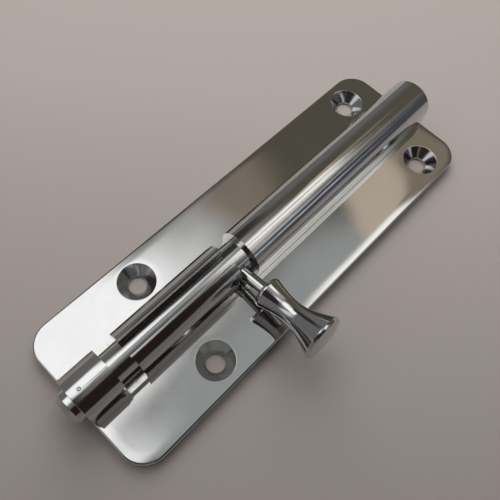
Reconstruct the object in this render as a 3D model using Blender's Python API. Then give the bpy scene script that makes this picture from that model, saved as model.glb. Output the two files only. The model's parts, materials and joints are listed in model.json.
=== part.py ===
"""Surface barrel bolt: a solid plate, a U-section barrel, and a sliding rod that is turned by a waisted knob.

Frame: origin at the centre of the plate's back face, +Z out of the door, X along the bolt.
The rod's nose points to -X, and it is thrown along -X. Units are metres.
Stored pose: bolt withdrawn, knob turned down to the right in the rear slot, just behind its pocket.
"""
import math

import bmesh
import bpy
from mathutils import Matrix, Vector

MM = 0.001

# plate
PLATE_LENGTH = 150.0 * MM
PLATE_WIDTH = 51.5 * MM
PLATE_THICKNESS = 4.0 * MM
PLATE_CORNER = 8.0 * MM
PLATE_EDGE = 0.7 * MM
HOLE_X = (-39.5 * MM, 61.5 * MM)
HOLE_Y = 17.05 * MM
HOLE_RADIUS = 2.95 * MM
COUNTERSINK_RADIUS = 5.95 * MM

# barrel
JOINT_GAP = 0.2 * MM
AXIS_HEIGHT = 6.0 * MM
BARREL_RADIUS = 7.7 * MM
BARREL_FRONT = -74.5 * MM
BARREL_BACK = 75.0 * MM
BORE_RADIUS = 5.45 * MM
SLOT_FLOOR = 2.8 * MM
SLOT_WIDTH = 6.1 * MM
GUIDE_WIDTH = 5.6 * MM
FRONT_SLOT_X = -59.7 * MM
REAR_SLOT_X = -15.4 * MM
POCKET_RADIUS = 3.0 * MM
POCKET_SHIFT = 2.6 * MM
POCKET_RISE = 1.0 * MM

# sliding rod, with two guide rings in grooves near its tail
ROD_RADIUS = 5.39 * MM
NOSE_TIP = -77.9 * MM
NOSE_CHAMFER = 1.6 * MM
ROD_TAIL = 58.0 * MM
TAIL_CHAMFER = 0.8 * MM
RING_X = (47.0 * MM, 53.0 * MM)
RING_WIDTH = 2.0 * MM
RING_THICKNESS = 0.9 * MM
RING_SPLIT = math.radians(12.0)

# knob and its stem, by distance from the bolt's axis; the tilt is from upright towards -Y
STEM_X = -16.5 * MM
KNOB_TILT = math.radians(81.0)
STEM_RADIUS = 1.9 * MM
STEM_FOOT = -3.0 * MM
STEM_TOP = 25.0 * MM
KNOB_FOOT = 14.2 * MM
FOOT_RADIUS = 4.9 * MM
FOOT_LIP = 1.2 * MM
WAIST_RADIUS = 3.45 * MM
WAIST_AT = 24.0 * MM
HEAD_RADIUS = 7.0 * MM
HEAD_AT = 35.2 * MM
HEAD_LIP = 1.2 * MM
KNOB_TOP = 37.0 * MM

# small pieces
SCREW_X = (-69.0 * MM, -37.0 * MM, 6.0 * MM, 65.0 * MM)
SCREW_Y = 6.1 * MM
SCREW_RADIUS = 1.2 * MM
SCREW_HEAD_RADIUS = 2.3 * MM
SCREW_REACH = 2.6 * MM
PLUG_LENGTH = 3.0 * MM
PIN_X = -71.4 * MM
PIN_RADIUS = 0.55 * MM

FIT_GAP = 0.1 * MM
ROUND_STEPS = 96
SMALL_STEPS = 32

BARREL_FOOT = PLATE_THICKNESS + JOINT_GAP
AXIS_Z = PLATE_THICKNESS + AXIS_HEIGHT
LONG = Vector((1.0, 0.0, 0.0))
UP = Vector((0.0, 0.0, 1.0))


def clear_scene():
    """Remove the objects of the default scene."""
    for item in list(bpy.data.objects):
        bpy.data.objects.remove(item)


def material(name, colour, roughness, metallic):
    """A plain Principled BSDF material."""
    made = bpy.data.materials.new(name)
    made.use_nodes = True
    shader = made.node_tree.nodes["Principled BSDF"]
    shader.inputs["Base Color"].default_value = (*colour, 1.0)
    shader.inputs["Roughness"].default_value = roughness
    shader.inputs["Metallic"].default_value = metallic
    return made


def finish(bm, name, location=(0.0, 0.0, 0.0), finish_material=None):
    """Turn a bmesh into a smooth-shaded object with its origin at location."""
    bmesh.ops.remove_doubles(bm, verts=bm.verts, dist=1e-7)
    bmesh.ops.recalc_face_normals(bm, faces=bm.faces)
    mesh = bpy.data.meshes.new(name)
    bm.to_mesh(mesh)
    bm.free()
    mesh.shade_smooth()
    mesh.set_sharp_from_angle(angle=math.radians(30.0))
    item = bpy.data.objects.new(name, mesh)
    item.location = location
    bpy.context.scene.collection.objects.link(item)
    if finish_material:
        mesh.materials.append(finish_material)
    return item


def turned(name, profile, axis, location, steps=ROUND_STEPS, finish_material=None):
    """A solid turned about axis from a profile of (radius, distance along the axis)."""
    bm = bmesh.new()
    side = Vector((0.0, 0.0, 1.0)) if axis == LONG else Vector((1.0, 0.0, 0.0))
    points = [bm.verts.new(side * radius + axis * along) for radius, along in profile]
    edges = [bm.edges.new(pair) for pair in zip(points, points[1:])]
    bmesh.ops.spin(
        bm,
        geom=points + edges,
        cent=(0.0, 0.0, 0.0),
        axis=axis,
        angle=2.0 * math.pi,
        steps=steps,
        use_merge=True,
    )
    return finish(bm, name, location, finish_material)


def extruded(name, outline, direction, finish_material=None):
    """A prism: a closed outline of points, extruded by the vector direction."""
    bm = bmesh.new()
    face = bm.faces.new([bm.verts.new(point) for point in outline])
    swept = bmesh.ops.extrude_face_region(bm, geom=[face])["geom"]
    moved = [part for part in swept if isinstance(part, bmesh.types.BMVert)]
    bmesh.ops.translate(bm, verts=moved, vec=direction)
    return finish(bm, name, finish_material=finish_material)


def block(name, low, high):
    """A box between two corners."""
    low, high = Vector(low), Vector(high)
    bm = bmesh.new()
    size = high - low
    place = Matrix.Translation((low + high) / 2.0) @ Matrix.Diagonal((*size, 1.0))
    bmesh.ops.create_cube(bm, size=1.0, matrix=place)
    return finish(bm, name)


def cut(item, cutter):
    """Take the cutter's shape out of the item, and hide the cutter."""
    cutter.hide_render = True
    cutter.display_type = "WIRE"
    boolean = item.modifiers.new(cutter.name, "BOOLEAN")
    boolean.operation = "DIFFERENCE"
    boolean.solver = "EXACT"
    boolean.object = cutter


def rod_shape(radius, start, end):
    """The profile of a plain cylinder."""
    return [(0.0, start), (radius, start), (radius, end), (0.0, end)]


def rounded_rectangle(half_x, half_y, radius, height, steps=10):
    """Corner arcs joined into one outline, at one height."""
    outline = []
    for corner, (sx, sy) in enumerate(((1, 1), (-1, 1), (-1, -1), (1, -1))):
        centre = Vector((sx * (half_x - radius), sy * (half_y - radius), height))
        for step in range(steps + 1):
            angle = math.radians(90.0 * (corner + step / steps))
            outline.append(centre + radius * Vector((math.cos(angle), math.sin(angle), 0.0)))
    return outline


def make_plate(chrome):
    """The plate, with a rounded top edge, four countersunk holes and the recesses for the barrel's screws."""
    bm = bmesh.new()
    layers = [(0.0, 0.0)]
    for step in range(4):
        angle = math.radians(30.0 * step)
        inset = PLATE_EDGE * (1.0 - math.cos(angle))
        layers.append((inset, PLATE_THICKNESS - PLATE_EDGE * (1.0 - math.sin(angle))))
    loops = []
    for inset, height in layers:
        outline = rounded_rectangle(
            PLATE_LENGTH / 2.0 - inset, PLATE_WIDTH / 2.0 - inset, PLATE_CORNER - inset, height
        )
        loops.append([bm.verts.new(point) for point in outline])
    for lower, upper in zip(loops, loops[1:]):
        for index in range(len(lower)):
            after = (index + 1) % len(lower)
            bm.faces.new((lower[index], lower[after], upper[after], upper[index]))
    bm.faces.new(loops[0])
    bm.faces.new(loops[-1])
    plate = finish(bm, "base_plate", finish_material=chrome)

    sink = COUNTERSINK_RADIUS - HOLE_RADIUS
    over = 1.0 * MM
    profile = [
        (0.0, -over),
        (HOLE_RADIUS, -over),
        (HOLE_RADIUS, PLATE_THICKNESS - sink),
        (COUNTERSINK_RADIUS + over, PLATE_THICKNESS + over),
        (0.0, PLATE_THICKNESS + over),
    ]
    for x in HOLE_X:
        for y in (-HOLE_Y, HOLE_Y):
            cut(plate, turned("plate_hole_cutter", profile, UP, (x, y, 0.0), steps=48))
    radius = SCREW_RADIUS + FIT_GAP
    head = SCREW_HEAD_RADIUS + FIT_GAP
    profile = [
        (0.0, -over),
        (head + over, -over),
        (radius, head - radius),
        (radius, PLATE_THICKNESS + over),
        (0.0, PLATE_THICKNESS + over),
    ]
    for x, y in screw_places():
        cut(plate, turned("plate_screw_cutter", profile, UP, (x, y, 0.0), steps=24))


def screw_places():
    """Two rows of screws, one on each side of the bore."""
    return [(x, y) for x in SCREW_X for y in (-SCREW_Y, SCREW_Y)]


def make_barrel(chrome):
    """The barrel: flat sides and a half-round top, bored through, with its guide slot, side slots and pockets."""
    outline = [Vector((BARREL_FRONT, -BARREL_RADIUS, BARREL_FOOT))]
    half_turn = ROUND_STEPS // 2
    for step in range(half_turn + 1):
        angle = math.pi * (1.0 - step / half_turn)
        y = BARREL_RADIUS * math.cos(angle)
        outline.append(Vector((BARREL_FRONT, y, AXIS_Z + BARREL_RADIUS * math.sin(angle))))
    outline.append(Vector((BARREL_FRONT, BARREL_RADIUS, BARREL_FOOT)))
    barrel = extruded("barrel", outline, LONG * (BARREL_BACK - BARREL_FRONT), chrome)

    over = 2.0 * MM
    top = AXIS_Z + BARREL_RADIUS + over
    wide = BARREL_RADIUS + over
    floor = PLATE_THICKNESS + SLOT_FLOOR
    centre = (0.0, 0.0, AXIS_Z)
    bore = rod_shape(BORE_RADIUS, BARREL_FRONT - over, BARREL_BACK + over)
    cut(barrel, turned("bore_cutter", bore, LONG, centre))
    low = (FRONT_SLOT_X, -GUIDE_WIDTH / 2.0, AXIS_Z)
    cut(barrel, block("guide_slot_cutter", low, (REAR_SLOT_X, GUIDE_WIDTH / 2.0, top)))
    for x in (FRONT_SLOT_X, REAR_SLOT_X):
        low = (x - SLOT_WIDTH / 2.0, -wide, floor)
        cut(barrel, block("side_slot_cutter", low, (x + SLOT_WIDTH / 2.0, wide, top)))
        pocket = turned(
            "pocket_cutter", rod_shape(POCKET_RADIUS, -wide, wide), UP, (0.0, 0.0, 0.0), steps=48
        )
        pocket.location = (x - POCKET_SHIFT, 0.0, AXIS_Z + POCKET_RISE)
        pocket.rotation_euler = (math.radians(90.0), 0.0, 0.0)
        cut(barrel, pocket)
    screw = rod_shape(SCREW_RADIUS + FIT_GAP, -over, SCREW_REACH + FIT_GAP)
    for x, y in screw_places():
        cut(barrel, turned("barrel_screw_cutter", screw, UP, (x, y, PLATE_THICKNESS), steps=24))
    pin = rod_shape(PIN_RADIUS + FIT_GAP, 0.0, BARREL_RADIUS + over)
    cut(barrel, turned("pin_cutter", pin, UP, (PIN_X, 0.0, AXIS_Z), steps=24))


def make_barrel_screws(steel):
    """Slotted countersunk screws, driven from the plate's back into the barrel."""
    sunk = FIT_GAP
    profile = [
        (0.0, sunk),
        (SCREW_HEAD_RADIUS, sunk),
        (SCREW_RADIUS, sunk + SCREW_HEAD_RADIUS - SCREW_RADIUS),
        (SCREW_RADIUS, PLATE_THICKNESS + SCREW_REACH),
        (0.0, PLATE_THICKNESS + SCREW_REACH),
    ]
    slot = 0.3 * MM
    for number, (x, y) in enumerate(screw_places(), start=1):
        screw = turned(f"barrel_screw_{number}", profile, UP, (x, y, 0.0), steps=24, finish_material=steel)
        reach = SCREW_HEAD_RADIUS + FIT_GAP
        cutter = block("screw_slot_cutter", (x - reach, y - slot, -slot), (x + reach, y + slot, 2.0 * slot))
        cut(screw, cutter)


def make_rod(chrome):
    """The rod: a chamfered nose, two ring grooves, a chamfered tail and a cross hole for the stem."""
    groove = ROD_RADIUS - RING_THICKNESS
    profile = [(0.0, NOSE_TIP), (ROD_RADIUS - NOSE_CHAMFER, NOSE_TIP), (ROD_RADIUS, NOSE_TIP + NOSE_CHAMFER)]
    for x in RING_X:
        half = RING_WIDTH / 2.0 + FIT_GAP
        profile += [(ROD_RADIUS, x - half), (groove, x - half), (groove, x + half), (ROD_RADIUS, x + half)]
    profile += [(ROD_RADIUS, ROD_TAIL - TAIL_CHAMFER), (ROD_RADIUS - TAIL_CHAMFER, ROD_TAIL), (0.0, ROD_TAIL)]
    placed = [(radius, along - STEM_X) for radius, along in profile]
    rod = turned("bolt_rod", placed, LONG, (STEM_X, 0.0, AXIS_Z), finish_material=chrome)
    hole = rod_shape(STEM_RADIUS + FIT_GAP, STEM_FOOT - 3.0 * FIT_GAP, ROD_RADIUS + 1.0 * MM)
    cutter = turned("stem_hole_cutter", hole, UP, (STEM_X, 0.0, AXIS_Z), steps=SMALL_STEPS)
    cutter.rotation_euler = (KNOB_TILT, 0.0, 0.0)
    cut(rod, cutter)


def make_stem(chrome, axis_frame):
    """The plain stem between the rod and the knob."""
    bevel = 0.3 * MM
    profile = [
        (0.0, STEM_FOOT),
        (STEM_RADIUS - bevel, STEM_FOOT),
        (STEM_RADIUS, STEM_FOOT + bevel),
        (STEM_RADIUS, STEM_TOP),
        (0.0, STEM_TOP),
    ]
    stem = turned("knob_stem", profile, UP, (0.0, 0.0, 0.0), steps=SMALL_STEPS, finish_material=chrome)
    stem.parent = axis_frame


def knob_profile():
    """The knob's turned outline, from the edge of its blind hole round to the middle of its end."""
    hole = STEM_RADIUS + FIT_GAP
    steps = 12
    profile = [(0.0, STEM_TOP + 3.0 * FIT_GAP), (hole, STEM_TOP + 3.0 * FIT_GAP), (hole, KNOB_FOOT)]
    for step in range(4):
        angle = math.radians(30.0 * step)
        radius = FOOT_RADIUS - FOOT_LIP * 0.6 * (1.0 - math.sin(angle))
        profile.append((radius, KNOB_FOOT + FOOT_LIP * (1.0 - math.cos(angle))))
    foot_end = KNOB_FOOT + FOOT_LIP
    for step in range(1, steps + 1):
        part = step / steps
        radius = WAIST_RADIUS + (FOOT_RADIUS - WAIST_RADIUS) * (1.0 - math.sin(part * math.pi / 2.0))
        profile.append((radius, foot_end + (WAIST_AT - foot_end) * part))
    for step in range(1, steps + 1):
        part = step / steps
        radius = WAIST_RADIUS + (HEAD_RADIUS - WAIST_RADIUS) * (1.0 - math.cos(part * math.pi / 2.0))
        profile.append((radius, WAIST_AT + (HEAD_AT - WAIST_AT) * part))
    for step in range(1, 5):
        angle = math.radians(22.5 * step)
        radius = HEAD_RADIUS - HEAD_LIP * 0.6 * (1.0 - math.cos(angle))
        profile.append((radius, HEAD_AT + HEAD_LIP * math.sin(angle)))
    rim = HEAD_RADIUS - HEAD_LIP * 0.6
    crown = HEAD_AT + HEAD_LIP
    for step in range(1, 5):
        part = step / 4
        profile.append((rim * (1.0 - part), crown + (KNOB_TOP - crown) * (1.0 - (1.0 - part) ** 2)))
    return profile


def make_knob(chrome, axis_frame):
    """The waisted knob, turned in one piece and screwed onto the stem."""
    knob = turned("knob", knob_profile(), UP, (0.0, 0.0, 0.0), steps=56, finish_material=chrome)
    knob.parent = axis_frame


def make_guide_rings(nylon):
    """Two split rings that ride in the rod's grooves and rub lightly on the bore."""
    inner = ROD_RADIUS - RING_THICKNESS + FIT_GAP
    outer = BORE_RADIUS - 0.03 * MM
    half = RING_WIDTH / 2.0
    corners = [(inner, -half), (outer, -half), (outer, half), (inner, half)]
    for number, x in enumerate(RING_X, start=1):
        bm = bmesh.new()
        start = Matrix.Rotation(RING_SPLIT / 2.0, 4, "X")
        ring_section = [bm.verts.new(start @ Vector((along, 0.0, radius))) for radius, along in corners]
        face = bm.faces.new(ring_section)
        bmesh.ops.spin(
            bm,
            geom=[face, *face.edges, *ring_section],
            cent=(0.0, 0.0, 0.0),
            axis=LONG,
            angle=2.0 * math.pi - RING_SPLIT,
            steps=60,
        )
        finish(bm, f"guide_ring_{number}", (x, 0.0, AXIS_Z), nylon)


def make_end_plug(chrome):
    """The disc that closes the barrel's far end."""
    bevel = 0.4 * MM
    radius = BORE_RADIUS - FIT_GAP
    back = BARREL_BACK - 0.3 * MM
    front = back - PLUG_LENGTH
    profile = [(0.0, front), (radius, front), (radius, back - bevel), (radius - bevel, back), (0.0, back)]
    turned("end_plug", profile, LONG, (0.0, 0.0, AXIS_Z), finish_material=chrome)


def make_collar_pin(steel):
    """The small friction pin in the top of the barrel's front collar."""
    foot = BORE_RADIUS + FIT_GAP
    profile = rod_shape(PIN_RADIUS, foot, BARREL_RADIUS - FIT_GAP)
    turned("collar_pin", profile, UP, (PIN_X, 0.0, AXIS_Z), steps=24, finish_material=steel)


def build():
    """Make every piece of the bolt."""
    clear_scene()
    chrome = material("chrome_plate", (0.78, 0.78, 0.78), 0.08, 1.0)
    steel = material("screw_steel", (0.55, 0.54, 0.52), 0.35, 1.0)
    nylon = material("nylon", (0.85, 0.84, 0.80), 0.5, 0.0)
    make_plate(chrome)
    make_barrel(chrome)
    make_barrel_screws(steel)
    make_end_plug(chrome)
    make_collar_pin(steel)
    make_rod(chrome)
    axis_frame = bpy.data.objects.new("bolt_axis", None)
    axis_frame.location = (STEM_X, 0.0, AXIS_Z)
    axis_frame.rotation_euler = (KNOB_TILT, 0.0, 0.0)
    bpy.context.scene.collection.objects.link(axis_frame)
    make_stem(chrome, axis_frame)
    make_knob(chrome, axis_frame)
    make_guide_rings(nylon)


build()
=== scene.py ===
"""Looks for the barrel bolt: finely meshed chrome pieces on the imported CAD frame, a soft room and one camera.

Everything is in metres in the CAD frame: +Z out of the door, X along the bolt, origin at the plate's back.
"""
import json
import math

import bmesh
import bpy
from mathutils import Matrix, Vector


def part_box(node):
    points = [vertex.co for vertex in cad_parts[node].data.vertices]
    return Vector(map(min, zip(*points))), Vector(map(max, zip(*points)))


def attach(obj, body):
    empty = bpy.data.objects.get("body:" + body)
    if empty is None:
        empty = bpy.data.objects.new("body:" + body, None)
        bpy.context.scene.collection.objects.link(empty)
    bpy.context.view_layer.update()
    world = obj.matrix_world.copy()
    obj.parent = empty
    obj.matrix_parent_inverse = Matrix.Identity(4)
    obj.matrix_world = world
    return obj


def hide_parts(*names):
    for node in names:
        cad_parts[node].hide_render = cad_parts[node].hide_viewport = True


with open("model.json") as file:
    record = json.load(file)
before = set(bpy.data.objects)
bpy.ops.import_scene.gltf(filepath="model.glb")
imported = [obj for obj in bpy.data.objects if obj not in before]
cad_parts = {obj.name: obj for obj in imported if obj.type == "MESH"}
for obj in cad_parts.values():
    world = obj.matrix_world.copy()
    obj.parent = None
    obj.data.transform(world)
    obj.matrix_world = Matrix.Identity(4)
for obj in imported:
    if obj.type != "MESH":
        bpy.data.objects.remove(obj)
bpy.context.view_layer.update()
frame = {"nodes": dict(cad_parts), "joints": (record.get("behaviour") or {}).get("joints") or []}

MM = 0.001
MICRON = 0.000001
LONG = Vector((1.0, 0.0, 0.0))
UP = Vector((0.0, 0.0, 1.0))

# places and sizes read from the frame
PLATE_LOW, PLATE_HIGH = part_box("base_plate")
BARREL_LOW, BARREL_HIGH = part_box("barrel")
ROD_LOW, ROD_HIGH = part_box("bolt_rod")
PIN_LOW, PIN_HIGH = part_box("collar_pin")
PLUG_LOW, PLUG_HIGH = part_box("end_plug")
STEM_X = next(joint["pos_m"][0] for joint in frame["joints"] if joint["type"] == "hinge")

PLATE_TOP = PLATE_HIGH.z
BARREL_RADIUS = (BARREL_HIGH.y - BARREL_LOW.y) / 2.0
AXIS_Z = BARREL_HIGH.z - BARREL_RADIUS
ROD_RADIUS = (ROD_HIGH.z - ROD_LOW.z) / 2.0

# plate
PLATE_CORNER = 8.0 * MM
PLATE_EDGE = 0.7 * MM
BACK_EDGE = 0.15 * MM
HOLE_X = (-39.5 * MM, 61.5 * MM)
HOLE_Y = 17.05 * MM
HOLE_RADIUS = 2.95 * MM
SINK_RADIUS = 5.95 * MM
SINK_LIP = 0.25 * MM

# polishing rolls the plate's top off along its edge, and dishes it a little around each countersink
ROLL_WIDTH = 2.8 * MM
ROLL_DROP = 0.07 * MM
ROLL_STEPS = 7
DISH_WIDTH = 2.0 * MM
DISH_DROP = 0.02 * MM
DISH_PARTS = (0.25, 0.5, 0.75, 1.0)

# barrel
BORE_RADIUS = 5.45 * MM
SLOT_FLOOR = PLATE_TOP + 2.8 * MM
SLOT_WIDTH = 6.1 * MM
GUIDE_WIDTH = 5.6 * MM
POCKET_RADIUS = 3.0 * MM
POCKET_SHIFT = 2.6 * MM
POCKET_RISE = 1.0 * MM
FRONT_SLOT_X = -59.7 * MM
REAR_SLOT_X = -15.4 * MM
PIN_RADIUS = (PIN_HIGH.x - PIN_LOW.x) / 2.0
PIN_GAP = 0.03 * MM
EDGE = 0.16 * MM
FAR_EDGE = 0.45 * MM
FOOT_EDGE = 0.2 * MM
LIP_RADIUS = 0.22 * MM
MOUTH_RADIUS = 0.3 * MM

# the barrel's screws, in recesses at the plate's back
SCREW_SHANK = 1.2 * MM
SCREW_SLOT_DEPTH = 0.6 * MM
SCREW_SLOT_HALF = 0.3 * MM
SCREW_TURN = 0.7
RECESS_DEPTH = 1.1 * MM
SCREWS = range(1, 9)

# rod, stem and knob
NOSE_CHAMFER = 1.6 * MM
TAIL_CHAMFER = 0.8 * MM
ROD_EDGE = 0.18 * MM
GROOVE_EDGE = 0.08 * MM
GROOVE_DEPTH = 0.9 * MM
RINGS = (1, 2)
STEM_SEAT = 0.45 * MM
KNOB_TILT = math.radians(81.0)
STEM_RADIUS = 1.9 * MM
STEM_FOOT = -3.0 * MM
STEM_TOP = 25.0 * MM
KNOB_FOOT = 14.2 * MM
KNOB_TOP = 37.0 * MM
FOOT_RADIUS = 4.9 * MM
WAIST_RADIUS = 3.45 * MM
WAIST_AT = 24.0 * MM
HEAD_RADIUS = 7.0 * MM
HEAD_AT = 35.2 * MM
LIP = 1.2 * MM
LIP_INSET = 0.6 * LIP
KNOB_PLACE = Matrix.Translation((STEM_X, 0.0, AXIS_Z)) @ Matrix.Rotation(KNOB_TILT, 4, "X")

FIT_GAP = 0.1 * MM
END_GAP = 3.0 * FIT_GAP
OVER = 2.0 * MM  # how far a cutter reaches past what it cuts
SHARP = math.radians(28.0)
FINE_STEPS = 192
KNOB_STEPS = 160
HOLE_STEPS = 96
SCREW_STEPS = 64
SMALL_STEPS = 48


# ---------------------------------------------------------------- meshes

def mesh_object(name, bm):
    """Close off a bmesh as a smooth-shaded object."""
    bmesh.ops.remove_doubles(bm, verts=bm.verts, dist=1e-8)
    bmesh.ops.recalc_face_normals(bm, faces=bm.faces)
    mesh = bpy.data.meshes.new(name)
    bm.to_mesh(mesh)
    bm.free()
    mesh.shade_smooth()
    item = bpy.data.objects.new(name, mesh)
    bpy.context.scene.collection.objects.link(item)
    return item


def quarter_turn(steps):
    """The angles from 0 to 90 degrees in equal steps."""
    return [math.radians(90.0 * step / steps) for step in range(steps + 1)]


def rounded(corners, steps=6):
    """Round the corners of a path. Each corner is (across, along) or (across, along, radius)."""
    path = []
    for index, corner in enumerate(corners):
        here = Vector(corner[:2])
        radius = corner[2] if len(corner) == 3 else 0.0
        if radius == 0.0:
            path.append(here)
            continue
        before = (Vector(corners[index - 1][:2]) - here).normalized()
        after = (Vector(corners[(index + 1) % len(corners)][:2]) - here).normalized()
        half = before.angle(after) / 2.0
        reach = radius / math.tan(half)
        centre = here + (before + after).normalized() * radius / math.sin(half)
        start = here + before * reach - centre
        end = here + after * reach - centre
        turn = start.angle(end)
        for step in range(steps + 1):
            part = step / steps
            swung = start * math.sin((1.0 - part) * turn) + end * math.sin(part * turn)
            path.append(centre + swung / math.sin(turn))
    return [(point.x, point.y) for point in path]


def turned(name, profile, axis, place, steps=FINE_STEPS):
    """A solid turned about axis from points of (radius, distance along the axis)."""
    bm = bmesh.new()
    side = UP if axis == LONG else LONG
    points = [bm.verts.new(side * radius + axis * along) for radius, along in profile]
    edges = [bm.edges.new(pair) for pair in zip(points, points[1:])]
    bmesh.ops.spin(
        bm, geom=points + edges, cent=(0, 0, 0), axis=axis, angle=2.0 * math.pi, steps=steps, use_merge=True
    )
    item = mesh_object(name, bm)
    item.data.transform(Matrix.Translation(place))
    return item


def column(radius, start, end):
    """The profile of a plain cylinder."""
    return [(0.0, start), (radius, start), (radius, end), (0.0, end)]


def lofted(name, loops):
    """A solid through closed loops of equal length, capped at both ends."""
    bm = bmesh.new()
    rings = [[bm.verts.new(point) for point in loop] for loop in loops]
    for lower, upper in zip(rings, rings[1:]):
        for index in range(len(lower)):
            after = (index + 1) % len(lower)
            bm.faces.new((lower[index], lower[after], upper[after], upper[index]))
    bm.faces.new(rings[0])
    bm.faces.new(rings[-1])
    return mesh_object(name, bm)


def block(name, low, high):
    """A box between two corners."""
    corners = [(low[0], low[1]), (high[0], low[1]), (high[0], high[1]), (low[0], high[1])]
    return lofted(name, [[Vector((x, y, z)) for x, y in corners] for z in (low[2], high[2])])


def bake(item):
    """Apply the item's modifiers to its mesh."""
    bpy.context.view_layer.update()
    shaped = item.evaluated_get(bpy.context.evaluated_depsgraph_get())
    mesh = bpy.data.meshes.new_from_object(shaped)
    item.modifiers.clear()
    item.data = mesh


def carve(item, cutters):
    """Take the cutters out of the item, and delete them."""
    for cutter in cutters:
        boolean = item.modifiers.new(cutter.name, "BOOLEAN")
        boolean.solver = "EXACT"
        boolean.object = cutter
    bake(item)
    for cutter in cutters:
        bpy.data.objects.remove(cutter)


def soften(item, width):
    """Round the sharp edges, keeping the flats truly flat."""
    bevel = item.modifiers.new("edges", "BEVEL")
    bevel.width = width
    bevel.segments = 3
    bevel.limit_method = "ANGLE"
    bevel.angle_limit = SHARP
    bevel.harden_normals = True
    bake(item)


def even_normals(item):
    """Shade by the large faces, so that flats stay flat beside rounded edges."""
    item.data.set_sharp_from_angle(angle=SHARP)
    weighted = item.modifiers.new("normals", "WEIGHTED_NORMAL")
    weighted.keep_sharp = True
    weighted.weight = 80
    bake(item)


def clean(item):
    """Drop the slivers and the points that booleans leave on straight lines."""
    bm = bmesh.new()
    bm.from_mesh(item.data)
    bmesh.ops.remove_doubles(bm, verts=bm.verts, dist=2e-6)
    bmesh.ops.dissolve_limit(bm, angle_limit=math.radians(0.2), verts=bm.verts, edges=bm.edges)
    bm.to_mesh(item.data)
    bm.free()
    item.data.shade_smooth()


# ---------------------------------------------------------------- pieces

def plate_outline(inset, height, steps=24):
    """The plate's rounded outline, moved in by inset, at one height."""
    centre = (PLATE_LOW + PLATE_HIGH) / 2.0
    half = (PLATE_HIGH - PLATE_LOW) / 2.0
    outline = []
    for corner, (sx, sy) in enumerate(((1, 1), (-1, 1), (-1, -1), (1, -1))):
        x = centre.x + sx * (half.x - PLATE_CORNER)
        y = centre.y + sy * (half.y - PLATE_CORNER)
        middle = Vector((x, y, height))
        for step in range(steps + 1):
            angle = math.radians(90.0 * (corner + step / steps))
            outline.append(middle + (PLATE_CORNER - inset) * Vector((math.cos(angle), math.sin(angle), 0.0)))
    return outline


def make_plate():
    """The plate with rounded edges, a top rolled off towards them, and softly lipped countersinks."""
    loops = []
    for angle in quarter_turn(3):
        loops.append(plate_outline(BACK_EDGE * (1.0 - math.sin(angle)), BACK_EDGE * (1.0 - math.cos(angle))))
    for angle in quarter_turn(8):
        inset = PLATE_EDGE * (1.0 - math.cos(angle))
        loops.append(plate_outline(inset, PLATE_TOP - ROLL_DROP - PLATE_EDGE * (1.0 - math.sin(angle))))
    for step in range(1, ROLL_STEPS + 1):
        part = step / ROLL_STEPS
        loops.append(plate_outline(PLATE_EDGE + ROLL_WIDTH * part, PLATE_TOP - ROLL_DROP * (1.0 - part) ** 2))
    plate = lofted("plate", loops)
    sink = SINK_RADIUS - HOLE_RADIUS
    dish = []
    for part in DISH_PARTS:
        dish.append((SINK_RADIUS + DISH_WIDTH * part, PLATE_TOP - DISH_DROP * (1.0 - part) ** 2))
    hole = rounded([
        (0.0, -OVER),
        (HOLE_RADIUS + OVER, -OVER),
        (HOLE_RADIUS + OVER, 0.0),
        (HOLE_RADIUS, 0.0, 0.12 * MM),
        (HOLE_RADIUS, PLATE_TOP - sink, 0.3 * MM),
        (SINK_RADIUS, PLATE_TOP - DISH_DROP, SINK_LIP),
        *dish,
        (SINK_RADIUS + DISH_WIDTH, PLATE_TOP + OVER),
        (0.0, PLATE_TOP + OVER),
    ])
    cutters = [turned("hole", hole, UP, (x, y, 0.0), HOLE_STEPS) for x in HOLE_X for y in (-HOLE_Y, HOLE_Y)]
    for number in SCREWS:
        low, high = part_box(f"barrel_screw_{number}")
        head = (high.x - low.x) / 2.0 + FIT_GAP
        cone = [(0.0, -OVER), (head + OVER, -OVER), (head - RECESS_DEPTH, RECESS_DEPTH), (0.0, RECESS_DEPTH)]
        middle = ((low.x + high.x) / 2.0, (low.y + high.y) / 2.0, 0.0)
        cutters.append(turned("recess", cone, UP, middle, SMALL_STEPS))
    carve(plate, cutters)
    even_normals(plate)
    return plate


def barrel_section(x, radius, foot, steps=FINE_STEPS // 2):
    """The U outline at one place along the barrel."""
    outline = [Vector((x, -radius + FOOT_EDGE, foot)), Vector((x, -radius, foot + FOOT_EDGE))]
    for step in range(steps + 1):
        angle = math.pi * (1.0 - step / steps)
        outline.append(Vector((x, radius * math.cos(angle), AXIS_Z + radius * math.sin(angle))))
    return outline + [Vector((x, radius, foot + FOOT_EDGE)), Vector((x, radius - FOOT_EDGE, foot))]


def lip_cutter(side):
    """What rounds the outer lip of the guide slot on one side."""
    across = GUIDE_WIDTH / 2.0 + LIP_RADIUS
    height = math.sqrt((BARREL_RADIUS - LIP_RADIUS) ** 2 - across ** 2)
    outward = math.atan2(height, across)
    section = []
    steps = 6
    for step in range(steps + 1):
        angle = math.pi + (outward - math.pi) * step / steps
        section.append((across + LIP_RADIUS * math.cos(angle), height + LIP_RADIUS * math.sin(angle)))
    outer, inner, top = across + OVER / 2, across - OVER / 2, height + OVER
    section += [(outer, top), (inner, top), (inner, height)]
    ends = (FRONT_SLOT_X, REAR_SLOT_X)
    return lofted("lip", [[Vector((x, side * y, AXIS_Z + z)) for y, z in section] for x in ends])


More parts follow.
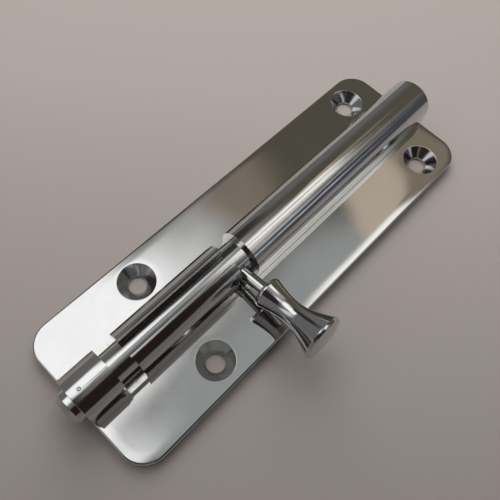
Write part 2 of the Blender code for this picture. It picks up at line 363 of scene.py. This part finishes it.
def make_barrel():
    """The barrel: bore, lipped guide slot, two cross slots with side pockets, and the pin's hole."""
    ends = []
    for angle in reversed(quarter_turn(4)):
        ends.append((BARREL_LOW.x + EDGE * (1.0 - math.sin(angle)), EDGE * (1.0 - math.cos(angle))))
    for angle in quarter_turn(6):
        ends.append((BARREL_HIGH.x - FAR_EDGE * (1.0 - math.sin(angle)), FAR_EDGE * (1.0 - math.cos(angle))))
    loops = [barrel_section(x, BARREL_RADIUS - inset, BARREL_LOW.z) for x, inset in ends]
    barrel = lofted("barrel_shell", loops)
    bore = rounded([
        (0.0, BARREL_LOW.x - OVER),
        (BORE_RADIUS + OVER, BARREL_LOW.x - OVER),
        (BORE_RADIUS + OVER, BARREL_LOW.x),
        (BORE_RADIUS, BARREL_LOW.x, MOUTH_RADIUS),
        (BORE_RADIUS, BARREL_HIGH.x, MOUTH_RADIUS),
        (BORE_RADIUS + OVER, BARREL_HIGH.x),
        (BORE_RADIUS + OVER, BARREL_HIGH.x + OVER),
        (0.0, BARREL_HIGH.x + OVER),
    ])
    top = BARREL_HIGH.z + OVER
    wide = BARREL_RADIUS + OVER
    half = GUIDE_WIDTH / 2.0
    pin_x = (PIN_LOW.x + PIN_HIGH.x) / 2.0
    cutters = [
        turned("bore", bore, LONG, (0.0, 0.0, AXIS_Z)),
        block("guide", (FRONT_SLOT_X, -half, AXIS_Z), (REAR_SLOT_X, half, top)),
        lip_cutter(1.0),
        lip_cutter(-1.0),
        turned("pin_hole", column(PIN_RADIUS + PIN_GAP, 0.0, wide), UP, (pin_x, 0.0, AXIS_Z), SMALL_STEPS),
    ]
    for x in (FRONT_SLOT_X, REAR_SLOT_X):
        low = (x - SLOT_WIDTH / 2.0, -wide, SLOT_FLOOR)
        cutters.append(block("cross_slot", low, (x + SLOT_WIDTH / 2.0, wide, top)))
        pocket = turned("pocket", column(POCKET_RADIUS, -wide, wide), UP, (0.0, 0.0, 0.0), HOLE_STEPS)
        middle = Matrix.Translation((x - POCKET_SHIFT, 0.0, AXIS_Z + POCKET_RISE))
        pocket.data.transform(middle @ Matrix.Rotation(math.pi / 2, 4, "X"))
        cutters.append(pocket)
    carve(barrel, cutters)
    clean(barrel)
    soften(barrel, EDGE)
    return barrel


def make_rod():
    """The rod with a softly edged chamfer at the nose, ring grooves, and the stem's hole."""
    groove = ROD_RADIUS - GROOVE_DEPTH
    corners = [
        (0.0, ROD_LOW.x),
        (ROD_RADIUS - NOSE_CHAMFER, ROD_LOW.x, ROD_EDGE),
        (ROD_RADIUS, ROD_LOW.x + NOSE_CHAMFER, ROD_EDGE),
    ]
    for number in RINGS:
        low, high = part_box(f"guide_ring_{number}")
        start, end = low.x - FIT_GAP, high.x + FIT_GAP
        corners += [(ROD_RADIUS, start, GROOVE_EDGE), (groove, start)]
        corners += [(groove, end), (ROD_RADIUS, end, GROOVE_EDGE)]
    corners += [
        (ROD_RADIUS, ROD_HIGH.x - TAIL_CHAMFER, ROD_EDGE),
        (ROD_RADIUS - TAIL_CHAMFER, ROD_HIGH.x, ROD_EDGE),
        (0.0, ROD_HIGH.x),
    ]
    rod = turned("rod", rounded(corners), LONG, (0.0, 0.0, AXIS_Z))
    bottom = STEM_FOOT - END_GAP
    seat = ROD_RADIUS - STEM_SEAT
    hole = rounded([
        (0.0, bottom),
        (STEM_RADIUS + FIT_GAP, bottom),
        (STEM_RADIUS + FIT_GAP, seat, 0.1 * MM),
        (STEM_RADIUS + FIT_GAP + OVER, seat + OVER),
        (0.0, ROD_RADIUS + OVER),
    ])
    cutter = turned("stem_hole", hole, UP, (0.0, 0.0, 0.0), HOLE_STEPS)
    cutter.data.transform(KNOB_PLACE)
    carve(rod, [cutter])
    even_normals(rod)
    return rod


def make_stem():
    """The stem between rod and knob."""
    corners = [
        (0.0, STEM_FOOT),
        (STEM_RADIUS, STEM_FOOT, 0.3 * MM),
        (STEM_RADIUS, STEM_TOP, 0.2 * MM),
        (0.0, STEM_TOP),
    ]
    stem = turned("stem", rounded(corners), UP, (0.0, 0.0, 0.0), HOLE_STEPS)
    stem.matrix_world = KNOB_PLACE
    even_normals(stem)
    return stem


def knob_profile():
    """From the knob's blind hole over the foot's lip and the waist to the rounded head and its low crown."""
    hole = STEM_RADIUS + FIT_GAP
    depth = STEM_TOP + END_GAP
    profile = [(0.0, depth), (hole, depth)]
    profile += rounded([(hole, depth), (hole, KNOB_FOOT, 0.25 * MM), (FOOT_RADIUS, KNOB_FOOT)])[1:-1]
    for angle in quarter_turn(8):
        radius = FOOT_RADIUS - LIP_INSET * (1.0 - math.sin(angle))
        profile.append((radius, KNOB_FOOT + LIP * (1.0 - math.cos(angle))))
    foot_end = KNOB_FOOT + LIP
    steps = 40
    for step in range(1, steps + 1):
        part = step / steps
        radius = WAIST_RADIUS + (FOOT_RADIUS - WAIST_RADIUS) * (1.0 - math.sin(part * math.pi / 2.0))
        profile.append((radius, foot_end + (WAIST_AT - foot_end) * part))
    for step in range(1, steps + 1):
        part = step / steps
        radius = WAIST_RADIUS + (HEAD_RADIUS - WAIST_RADIUS) * (1.0 - math.cos(part * math.pi / 2.0))
        profile.append((radius, WAIST_AT + (HEAD_AT - WAIST_AT) * part))
    for angle in quarter_turn(8)[1:]:
        profile.append((HEAD_RADIUS - LIP_INSET * (1.0 - math.cos(angle)), HEAD_AT + LIP * math.sin(angle)))
    rim = HEAD_RADIUS - LIP_INSET
    crown = HEAD_AT + LIP
    crown_steps = 12
    for step in range(1, crown_steps + 1):
        part = step / crown_steps
        profile.append((rim * (1.0 - part), crown + (KNOB_TOP - crown) * (1.0 - (1.0 - part) ** 2)))
    return profile


def make_knob():
    """The waisted knob."""
    knob = turned("waisted_knob", knob_profile(), UP, (0.0, 0.0, 0.0), KNOB_STEPS)
    knob.matrix_world = KNOB_PLACE
    even_normals(knob)
    return knob


def make_pin():
    """The collar's small pin, with a rounded rim."""
    middle = (PIN_LOW.x + PIN_HIGH.x) / 2.0
    corners = [
        (0.0, PIN_LOW.z),
        (PIN_RADIUS, PIN_LOW.z, 0.1 * MM),
        (PIN_RADIUS, PIN_HIGH.z, 0.15 * MM),
        (0.0, PIN_HIGH.z),
    ]
    return turned("pin", rounded(corners), UP, (middle, 0.0, 0.0), SMALL_STEPS)


def make_plug():
    """The disc in the barrel's far end, with a rounded rim and a shallow turned dish."""
    radius = (PLUG_HIGH.z - PLUG_LOW.z) / 2.0
    dished = PLUG_HIGH.x - 0.3 * MM
    corners = [
        (0.0, PLUG_LOW.x),
        (radius, PLUG_LOW.x, 0.2 * MM),
        (radius, PLUG_HIGH.x, 0.4 * MM),
        (0.55 * radius, PLUG_HIGH.x, 0.6 * MM),
        (0.4 * radius, dished, 0.6 * MM),
        (0.0, dished),
    ]
    plug = turned("plug", rounded(corners), LONG, (0.0, 0.0, AXIS_Z))
    even_normals(plug)
    return plug


def make_screw(number):
    """A slotted countersunk screw, seen only from the plate's back."""
    low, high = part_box(f"barrel_screw_{number}")
    head = (high.x - low.x) / 2.0
    corners = [
        (0.0, low.z),
        (head, low.z, 0.1 * MM),
        (SCREW_SHANK, low.z + head - SCREW_SHANK, 0.2 * MM),
        (SCREW_SHANK, high.z, 0.2 * MM),
        (0.0, high.z),
    ]
    middle = Vector(((low.x + high.x) / 2.0, (low.y + high.y) / 2.0, 0.0))
    screw = turned(f"screw_{number}", rounded(corners), UP, middle, SCREW_STEPS)
    reach = head + OVER
    bottom = low.z + SCREW_SLOT_DEPTH
    cutter = block("screw_slot", (-reach, -SCREW_SLOT_HALF, low.z - OVER), (reach, SCREW_SLOT_HALF, bottom))
    cutter.data.transform(Matrix.Translation(middle) @ Matrix.Rotation(SCREW_TURN * number, 4, "Z"))
    carve(screw, [cutter])
    even_normals(screw)
    return screw


# ---------------------------------------------------------------- materials

class Tree:
    """Short forms for the nodes that materials and the room share."""

    def __init__(self, tree):
        self.tree = tree

    def add(self, kind, **values):
        """Add a node and set its properties."""
        node = self.tree.nodes.new(kind)
        for key, value in values.items():
            setattr(node, key, value)
        return node

    def link(self, source, target):
        """Join an output to an input."""
        self.tree.links.new(source, target)

    def feed(self, node, values):
        """Join or set a node's first inputs, in order."""
        for target, value in zip(node.inputs, values):
            if isinstance(value, bpy.types.NodeSocket):
                self.link(value, target)
            else:
                target.default_value = value

    def maths(self, operation, *values):
        """A sum on outputs or plain numbers."""
        node = self.add("ShaderNodeMath", operation=operation)
        self.feed(node, values)
        return node.outputs["Value"]

    def vector_maths(self, operation, *values):
        """A sum on vectors that gives a vector."""
        node = self.add("ShaderNodeVectorMath", operation=operation)
        self.feed(node, values)
        return node.outputs["Vector"]

    def dot(self, vector, fixed):
        """How far a vector output reaches along a fixed vector."""
        node = self.add("ShaderNodeVectorMath", operation="DOT_PRODUCT")
        self.feed(node, (vector, fixed))
        return node.outputs["Value"]

    def remap(self, value, start, end, low, high, **values):
        """Take a value from start to end over to low to high, and hold it beyond them."""
        node = self.add("ShaderNodeMapRange", **values)
        node.inputs["From Min"].default_value = start
        node.inputs["From Max"].default_value = end
        node.inputs["To Min"].default_value = low
        node.inputs["To Max"].default_value = high
        self.link(value, node.inputs["Value"])
        return node.outputs["Result"]

    def mix(self, share, first, second):
        """Blend from one colour to another by a share from 0 to 1."""
        node = self.add("ShaderNodeMix", data_type="RGBA")
        self.link(share, node.inputs["Factor"])
        for name, colour in (("A", first), ("B", second)):
            if isinstance(colour, bpy.types.NodeSocket):
                self.link(colour, node.inputs[name])
            else:
                node.inputs[name].default_value = (*colour, 1.0)
        return node.outputs["Result"]


class Finish(Tree):
    """A material's node tree."""

    def __init__(self, name):
        self.material = bpy.data.materials.new(name)
        self.material.use_nodes = True
        super().__init__(self.material.node_tree)
        self.shader = self.tree.nodes["Principled BSDF"]
        self.coordinates = self.add("ShaderNodeTexCoord").outputs["Object"]

    def noise(self, stretch, scale, detail=3.0, roughness=0.5):
        """Noise of scale per metre, stretched by a factor along each axis."""
        mapping = self.add("ShaderNodeMapping")
        mapping.inputs["Scale"].default_value = [scale / factor for factor in stretch]
        self.link(self.coordinates, mapping.inputs["Vector"])
        noise = self.add("ShaderNodeTexNoise")
        noise.inputs["Scale"].default_value = 1.0
        noise.inputs["Detail"].default_value = detail
        noise.inputs["Roughness"].default_value = roughness
        self.link(mapping.outputs["Vector"], noise.inputs["Vector"])
        return noise.outputs["Fac"]

    def spread(self, noise, low, high):
        """Spread noise, which keeps to the middle of 0 to 1, from low to high."""
        return self.remap(noise, 0.3, 0.7, low, high)

    def bump(self, value, distance, normal=None):
        """Raise the surface by value times distance in metres."""
        node = self.add("ShaderNodeBump")
        node.inputs["Strength"].default_value = 1.0
        node.inputs["Distance"].default_value = distance
        self.link(value, node.inputs["Height"])
        if normal:
            self.link(normal, node.inputs["Normal"])
        return node.outputs["Normal"]

    def finish(self, colour, roughness, normal, metallic):
        """Join the shader up and hand over the material."""
        self.link(colour, self.shader.inputs["Base Color"])
        self.link(roughness, self.shader.inputs["Roughness"])
        self.link(normal, self.shader.inputs["Normal"])
        self.shader.inputs["Metallic"].default_value = metallic
        return self.material


def chrome(name, grain, fine, broad, ripple, rough=(0.03, 0.07)):
    """Polished chrome: two sizes of polishing marks drawn out along grain, a slow ripple, and faint smears.

    The depths are in metres. Rough holds the least and the most roughness.
    """
    n = Finish(name)
    fine_marks = n.noise(grain, 9000.0, 2.0)
    broad_marks = n.noise(grain, 2600.0, 3.0, 0.6)
    smears = n.noise((1, 1, 1), 90.0, 5.0, 0.65)
    waves = n.noise((2.0, 1, 1), 55.0, 2.0)
    colour = n.mix(smears, (0.54, 0.545, 0.55), (0.66, 0.658, 0.65))
    roughness = n.maths("ADD", n.spread(smears, *rough), n.spread(fine_marks, 0.0, 0.03))
    normal = n.bump(fine_marks, fine, n.bump(broad_marks, broad, n.bump(waves, ripple)))
    return n.finish(colour, roughness, normal, 1.0)


def milled_chrome():
    """A milled slot floor: close cutter lines across the slot under a thin plating."""
    n = Finish("milled_chrome")
    lines = n.noise((1, 60, 60), 4200.0, 2.0)
    smears = n.noise((1, 1, 1), 500.0, 4.0)
    colour = n.mix(smears, (0.58, 0.57, 0.53), (0.80, 0.79, 0.75))
    return n.finish(colour, n.spread(lines, 0.12, 0.3), n.bump(lines, 6.0 * MICRON), 1.0)


def screw_steel():
    """Plain steel with turning marks and a dull, uneven skin."""
    n = Finish("turned_steel")
    lines = n.noise((8, 8, 1), 5000.0, 2.0)
    smears = n.noise((1, 1, 1), 900.0, 4.0, 0.6)
    colour = n.mix(smears, (0.40, 0.39, 0.37), (0.62, 0.61, 0.58))
    return n.finish(colour, n.spread(smears, 0.25, 0.42), n.bump(lines, 5.0 * MICRON), 1.0)


def nylon():
    """Off-white nylon with a moulded, slightly mottled surface."""
    n = Finish("moulded_nylon")
    grain = n.noise((1, 1, 1), 4000.0, 4.0, 0.6)
    cloud = n.noise((1, 1, 1), 350.0, 3.0)
    colour = n.mix(cloud, (0.78, 0.76, 0.70), (0.88, 0.87, 0.82))
    return n.finish(colour, n.spread(grain, 0.42, 0.6), n.bump(grain, 10.0 * MICRON), 0.0)


def floor_with_painted_shade():
    """Warm grey matt floor with a barely visible tooth, and painted shade that darkens it towards the near
    side, away from the lamp.
    """
    n = Finish("floor_with_painted_shade")
    tooth = n.noise((1, 1, 1), 1500.0, 5.0, 0.6)
    # painted shade: the colour runs from a light tone at the far side to a dark one at the near side, in place
    # of the lamp's light falling off
    away = n.dot(n.coordinates, (0.77, 0.64, 0.0))
    depth = n.remap(away, -0.09, 0.06, 0.0, 1.0)
    colour = n.mix(depth, (0.375, 0.333, 0.315), (0.565, 0.515, 0.495))
    return n.finish(colour, n.spread(tooth, 0.55, 0.75), n.bump(tooth, 30.0 * MICRON), 0.0)


# ---------------------------------------------------------------- stage

def make_floor(material):
    """A broad floor that the plate's back lies on."""
    reach = 3.0
    bm = bmesh.new()
    bmesh.ops.create_grid(bm, x_segments=2, y_segments=2, size=reach)
    floor = mesh_object("floor", bm)
    floor.location.z = -0.05 * MM
    floor.data.materials.append(material)


def direction(tilt_x, tilt_y):
    """The unit vector leaning from the zenith by these degrees towards +X and +Y."""
    lean = math.hypot(tilt_x, tilt_y)
    if lean == 0.0:
        return UP
    across = math.sin(math.radians(lean)) / lean
    return Vector((tilt_x * across, tilt_y * across, math.cos(math.radians(lean))))


class Sky(Tree):
    """A room of soft panels, each a smooth patch of one colour around a direction."""

    WAVES = 7.0
    BEND = 0.10

    def __init__(self, base):
        world = bpy.data.worlds.new("soft_room")
        world.use_nodes = True
        bpy.context.scene.world = world
        super().__init__(world.node_tree)
        self.tree.nodes.clear()
        self.ray = self.waved(self.add("ShaderNodeTexCoord").outputs["Generated"])
        self.colour = self.add("ShaderNodeRGB").outputs["Color"]
        self.colour.default_value = (*base, 1.0)

    def waved(self, ray):
        """Bend the directions a little, so that the panels' edges aren't ruler straight."""
        noise = self.add("ShaderNodeTexNoise")
        noise.inputs["Scale"].default_value = self.WAVES
        noise.inputs["Detail"].default_value = 1.0
        self.link(ray, noise.inputs["Vector"])
        centred = self.vector_maths("SUBTRACT", noise.outputs["Color"], (0.5, 0.5, 0.5))
        return self.vector_maths("MULTIPLY_ADD", centred, (self.BEND, self.BEND, self.BEND), ray)

    def panel(self, tilt_x, tilt_y, reach, soft, colour, stretch=1.0, turn=0.0, power=2):
        """A patch reaching so many degrees, with a soft edge, stretched along a line turned from +X.

        A power of 2 makes an ellipse, and a higher one squares it off. It covers the panels before it.
        """
        middle = direction(tilt_x, tilt_y)
        along = Vector((math.cos(math.radians(turn)), math.sin(math.radians(turn)), 0.0))
        along = (along - middle * along.dot(middle)).normalized()
        across = middle.cross(along)
        lengths = [self.maths("ABSOLUTE", self.dot(self.ray, axis)) for axis in (along / stretch, across)]
        powers = [self.maths("POWER", length, power) for length in lengths]
        radius = self.maths("POWER", self.maths("ADD", *powers), 1.0 / power)
        inner = math.sin(math.radians(max(reach - soft, 0.0)))
        outer = math.sin(math.radians(min(reach + soft, 90.0)))
        fade = self.remap(radius, inner, outer, 1.0, 0.0, interpolation_type="SMOOTHERSTEP")
        ahead = self.maths("GREATER_THAN", self.dot(self.ray, middle), 0.0)
        self.colour = self.mix(self.maths("MULTIPLY", fade, ahead), self.colour, colour)

    def finish(self, strength):
        """Light the scene with the panels."""
        background = self.add("ShaderNodeBackground")
        background.inputs["Strength"].default_value = strength
        self.link(self.colour, background.inputs["Color"])
        output = self.add("ShaderNodeOutputWorld")
        self.link(background.outputs["Background"], output.inputs["Surface"])


def make_room():
    """The soft room: a grey ceiling with bright windows, between darker walls."""
    sky = Sky((0.13, 0.125, 0.115))
    # walls, with a pale window low on one side
    sky.panel(-60, 15, 42, 12, (0.12, 0.12, 0.125))
    sky.panel(-52, 28, 12, 5, (0.55, 0.56, 0.58), stretch=1.6)
    sky.panel(65, 25, 40, 5, (0.080, 0.073, 0.056))
    sky.panel(10, 80, 28, 12, (0.12, 0.12, 0.12), stretch=2.0)
    sky.panel(16, 50, 21, 3, (0.030, 0.029, 0.028), stretch=0.5, power=3)
    # ceiling, as the plate shows it
    sky.panel(15, 21, 5, 2.5, (0.32, 0.32, 0.31), stretch=1.8, power=3)
    sky.panel(24.5, 20, 4, 2.5, (0.20, 0.165, 0.13), stretch=0.9)
    sky.panel(15, 1, 9.5, 2.5, (0.29, 0.30, 0.30), stretch=1.8, power=4)
    sky.panel(-7, 7, 5, 4, (0.85, 0.85, 0.86), stretch=1.4)
    sky.panel(21, -42, 12, 8, (0.42, 0.42, 0.42))
    # bright windows that the plate's near end shows
    sky.panel(-12, 33, 10, 3, (1.0, 1.0, 1.0), stretch=1.4, power=4)
    sky.panel(-6, 23, 9, 3, (1.0, 1.0, 1.0), stretch=1.65, power=4)
    sky.panel(-4, 17.5, 6.0, 2.4, (1.0, 1.0, 1.0), stretch=3.2, power=4)
    # the window behind the long highlight on barrel and rod, with a dimmer bar across it
    sky.panel(28, -26, 9, 3, (0.60, 0.59, 0.57), stretch=1.2, power=4)
    sky.panel(28, -10, 12.5, 3, (0.97, 0.95, 0.91), stretch=0.85, power=4)
    sky.panel(30, -10.5, 2.8, 1.2, (0.47, 0.46, 0.44), stretch=4.0, power=3)
    # a warm patch at the plate's far corner
    sky.panel(40, 7, 6, 2, (0.19, 0.16, 0.12))
    sky.panel(34, 8, 4.5, 1.0, (0.45, 0.385, 0.305), stretch=0.8, turn=-25, power=3)
    # streaks down the barrel's near side
    sky.panel(62, -55, 26, 6, (0.055, 0.058, 0.065))
    sky.panel(34, -23, 1.2, 0.8, (0.50, 0.46, 0.40), stretch=9.0)
    sky.panel(36, -31, 1.6, 0.8, (0.20, 0.18, 0.16), stretch=7.0)
    sky.panel(34, -38, 1.2, 0.7, (0.06, 0.06, 0.06), stretch=12.0)
    sky.panel(32, -45, 1.4, 0.7, (0.45, 0.47, 0.50), stretch=12.0)
    sky.panel(30, -55, 3.0, 1.0, (0.05, 0.05, 0.06), stretch=6.0)
    sky.panel(30, -65, 3.0, 1.0, (0.40, 0.43, 0.50), stretch=6.0)
    # dark figures in front, in the nose and the knob
    sky.panel(-2, -48, 26, 3, (0.016, 0.010, 0.009), stretch=0.8, power=4)
    sky.panel(-35, -16, 23, 3, (0.025, 0.018, 0.017), power=3)
    sky.finish(1.45)


def make_lamp():
    """A soft lamp over the far side. It shades the floor but isn't seen in the chrome."""
    lamp = bpy.data.lights.new("soft_lamp", "AREA")
    lamp.shape = "SQUARE"
    lamp.size = 0.6
    lamp.energy = 2.55
    lamp.color = (1.0, 0.97, 0.94)
    item = bpy.data.objects.new("soft_lamp", lamp)
    item.location = (0.30, 0.33, 0.45)
    item.rotation_euler = (-item.location).to_track_quat("-Z", "Y").to_euler()
    item.visible_glossy = False
    bpy.context.scene.collection.objects.link(item)


def make_camera():
    """The camera, close above the near end of the bolt."""
    data = bpy.data.cameras.new("camera")
    data.sensor_width = 36.0
    data.lens = 38.97
    data.clip_start = 0.01
    camera = bpy.data.objects.new("camera", data)
    place = Vector((-67.65, -41.05, 158.77)) * MM
    aim = Vector((-7.20, 0.40, 4.0)) * MM
    roll = math.radians(10.5)
    look = (aim - place).to_track_quat("-Z", "Y").to_matrix().to_4x4()
    camera.matrix_world = Matrix.Translation(place) @ look @ Matrix.Rotation(roll, 4, "Z")
    bpy.context.scene.collection.objects.link(camera)
    bpy.context.scene.camera = camera


def place_piece(piece, body, slot, material, *nodes):
    """Ride a body, stand for its CAD nodes, and take a material."""
    piece.data.materials.clear()
    piece.data.materials.append(material)
    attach(piece, body)
    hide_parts(*nodes)


def use_milled_floors(barrel, material):
    """Give the slot floors, the level faces at their height, their own finish."""
    barrel.data.materials.append(material)
    level, near = 0.99, 0.02 * MM
    for face in barrel.data.polygons:
        if face.normal.z > level and abs(face.center.z - SLOT_FLOOR) < near:
            face.material_index = 1


def use_turned_sinks(plate, material):
    """Give the countersinks and holes, the steep faces near a hole's middle, a turned finish."""
    plate.data.materials.append(material)
    steep = 0.85
    hole = Vector(((HOLE_X[1] - HOLE_X[0]) / 2.0, HOLE_Y))
    for face in plate.data.polygons:
        across = Vector((abs(face.center.x - sum(HOLE_X) / 2.0), abs(face.center.y)))
        if (across - hole).length < SINK_RADIUS and face.normal.z < steep and face.center.z > EDGE:
            face.material_index = 1


def build():
    """Make every piece, the floor, the light and the camera."""
    bpy.context.scene.view_settings.view_transform = "Standard"
    plate_chrome = chrome("plate_chrome", (6, 1, 1), 0.2 * MICRON, 0.4 * MICRON, 10.0 * MICRON)
    sink_chrome = chrome("sink_chrome", (25, 25, 1), 3.0 * MICRON, 20.0 * MICRON, 0.0, (0.08, 0.16))
    drawn, soft = (60, 1, 1), (0.06, 0.11)
    barrel_chrome = chrome("barrel_chrome", drawn, 4.0 * MICRON, 10.0 * MICRON, 3.0 * MICRON, soft)
    rod_chrome = chrome("turned_chrome", drawn, 4.0 * MICRON, 8.0 * MICRON, 3.0 * MICRON, soft)
    knob_chrome = chrome("knob_chrome", (12, 12, 1), 0.5 * MICRON, 1.0 * MICRON, 6.0 * MICRON)
    steel = screw_steel()
    barrel = make_barrel()
    plate = make_plate()
    place_piece(plate, "body", "chrome_plate", plate_chrome, "base_plate")
    use_turned_sinks(plate, sink_chrome)
    place_piece(barrel, "body", "chrome_plate", barrel_chrome, "barrel")
    use_milled_floors(barrel, milled_chrome())
    place_piece(make_pin(), "body", "screw_steel", steel, "collar_pin")
    place_piece(make_plug(), "body", "chrome_plate", barrel_chrome, "end_plug")
    for number in SCREWS:
        place_piece(make_screw(number), "body", "screw_steel", steel, f"barrel_screw_{number}")
    place_piece(make_rod(), "bolt", "chrome_plate", rod_chrome, "bolt_rod")
    place_piece(make_stem(), "bolt", "chrome_plate", knob_chrome, "knob_stem")
    place_piece(make_knob(), "bolt", "chrome_plate", knob_chrome, "knob")
    ring_nylon = nylon()
    for number in RINGS:
        ring = frame["nodes"][f"guide_ring_{number}"]
        ring.data.materials.clear()
        ring.data.materials.append(ring_nylon)
    make_floor(floor_with_painted_shade())
    make_room()
    make_lamp()
    make_camera()


build()
